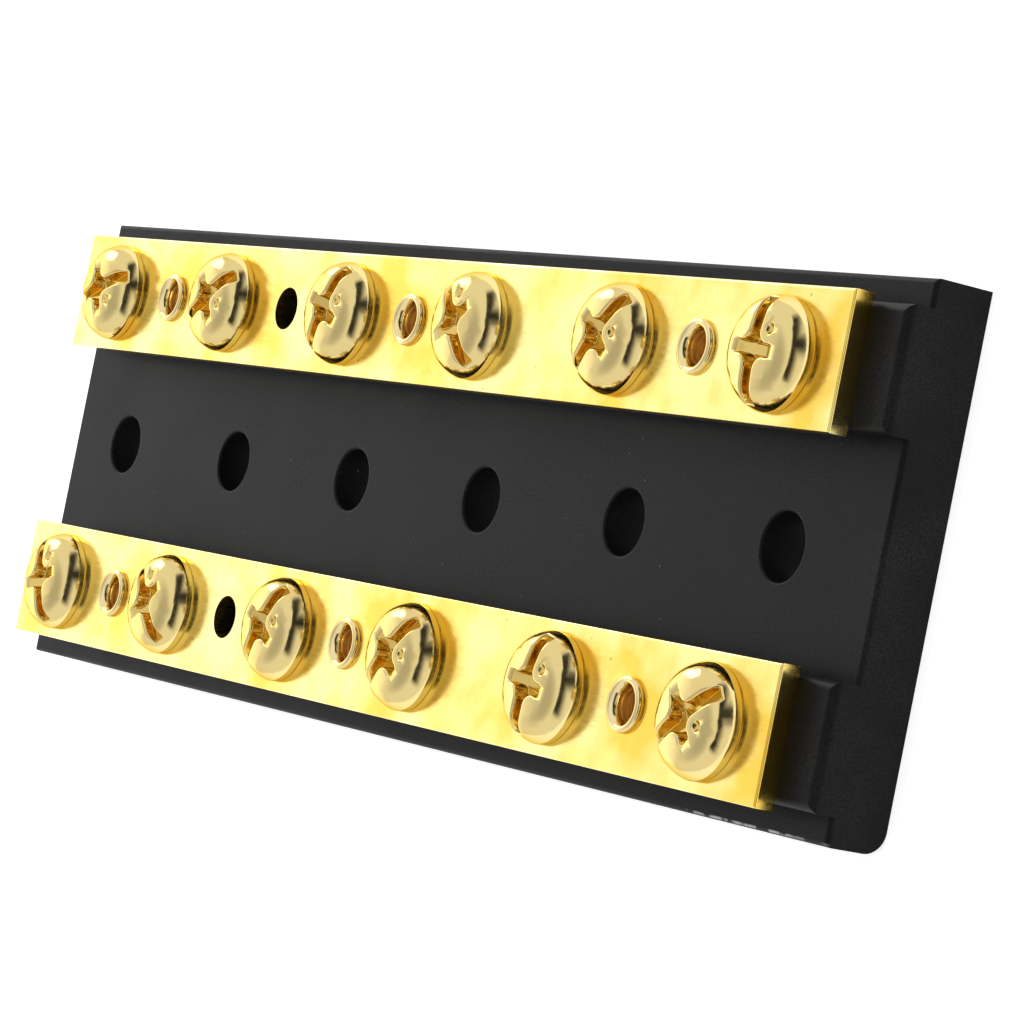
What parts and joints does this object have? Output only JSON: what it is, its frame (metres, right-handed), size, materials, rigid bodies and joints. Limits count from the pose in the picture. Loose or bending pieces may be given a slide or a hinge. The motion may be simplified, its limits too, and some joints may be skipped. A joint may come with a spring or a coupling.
{
  "type": "dual-row terminal bus bar",
  "caption": "Black moulded base with parallel polished brass strips, a row of terminal screws on each, rivet eyelets, and mounting holes along the rib between; joins many wires to common rails.",
  "frame": {"origin": "centre of the base's outline, on its flat back", "axes": "+X along the strips towards the wide end margin, +Y across to the upper strip, +Z out of the face"},
  "size_m": [0.1, 0.032, 0.0087],
  "materials": {
    "black_plastic": "moulded, finely matte black",
    "polished_brass": "polished strip, lightly scuffed and speckled",
    "screw_brass": "bright brass plating, paler than the strips",
    "eyelet_brass": "rolled and plated, a little darker than the strips"
  },
  "bodies": {
    "busbar": {"base": "black_plastic", "upper_bar": "polished_brass", "lower_bar": "polished_brass", "upper_eyelet_1": "eyelet_brass", "upper_eyelet_2": "eyelet_brass", "upper_eyelet_3": "eyelet_brass", "lower_eyelet_1": "eyelet_brass", "lower_eyelet_2": "eyelet_brass", "lower_eyelet_3": "eyelet_brass"},
    "upper_screw_1": {"upper_screw_1": "screw_brass"},
    "upper_screw_2": {"upper_screw_2": "screw_brass"},
    "upper_screw_3": {"upper_screw_3": "screw_brass"},
    "upper_screw_4": {"upper_screw_4": "screw_brass"},
    "upper_screw_5": {"upper_screw_5": "screw_brass"},
    "upper_screw_6": {"upper_screw_6": "screw_brass"},
    "lower_screw_1": {"lower_screw_1": "screw_brass"},
    "lower_screw_2": {"lower_screw_2": "screw_brass"},
    "lower_screw_3": {"lower_screw_3": "screw_brass"},
    "lower_screw_4": {"lower_screw_4": "screw_brass"},
    "lower_screw_5": {"lower_screw_5": "screw_brass"},
    "lower_screw_6": {"lower_screw_6": "screw_brass"}
  },
  "joints": [
    {"name": "upper_screw_1_travel", "type": "slide", "parent": "busbar", "child": "upper_screw_1", "axis": [0, 0, 1], "range_m": [0, 0.0035]},
    {"name": "upper_screw_2_travel", "type": "slide", "parent": "busbar", "child": "upper_screw_2", "axis": [0, 0, 1], "range_m": [0, 0.0035]},
    {"name": "upper_screw_3_travel", "type": "slide", "parent": "busbar", "child": "upper_screw_3", "axis": [0, 0, 1], "range_m": [0, 0.0035]},
    {"name": "upper_screw_4_travel", "type": "slide", "parent": "busbar", "child": "upper_screw_4", "axis": [0, 0, 1], "range_m": [0, 0.0035]},
    {"name": "upper_screw_5_travel", "type": "slide", "parent": "busbar", "child": "upper_screw_5", "axis": [0, 0, 1], "range_m": [0, 0.0035]},
    {"name": "upper_screw_6_travel", "type": "slide", "parent": "busbar", "child": "upper_screw_6", "axis": [0, 0, 1], "range_m": [0, 0.0035]},
    {"name": "lower_screw_1_travel", "type": "slide", "parent": "busbar", "child": "lower_screw_1", "axis": [0, 0, 1], "range_m": [0, 0.0035]},
    {"name": "lower_screw_2_travel", "type": "slide", "parent": "busbar", "child": "lower_screw_2", "axis": [0, 0, 1], "range_m": [0, 0.0035]},
    {"name": "lower_screw_3_travel", "type": "slide", "parent": "busbar", "child": "lower_screw_3", "axis": [0, 0, 1], "range_m": [0, 0.0035]},
    {"name": "lower_screw_4_travel", "type": "slide", "parent": "busbar", "child": "lower_screw_4", "axis": [0, 0, 1], "range_m": [0, 0.0035]},
    {"name": "lower_screw_5_travel", "type": "slide", "parent": "busbar", "child": "lower_screw_5", "axis": [0, 0, 1], "range_m": [0, 0.0035]},
    {"name": "lower_screw_6_travel", "type": "slide", "parent": "busbar", "child": "lower_screw_6", "axis": [0, 0, 1], "range_m": [0, 0.0035]}
  ]
}
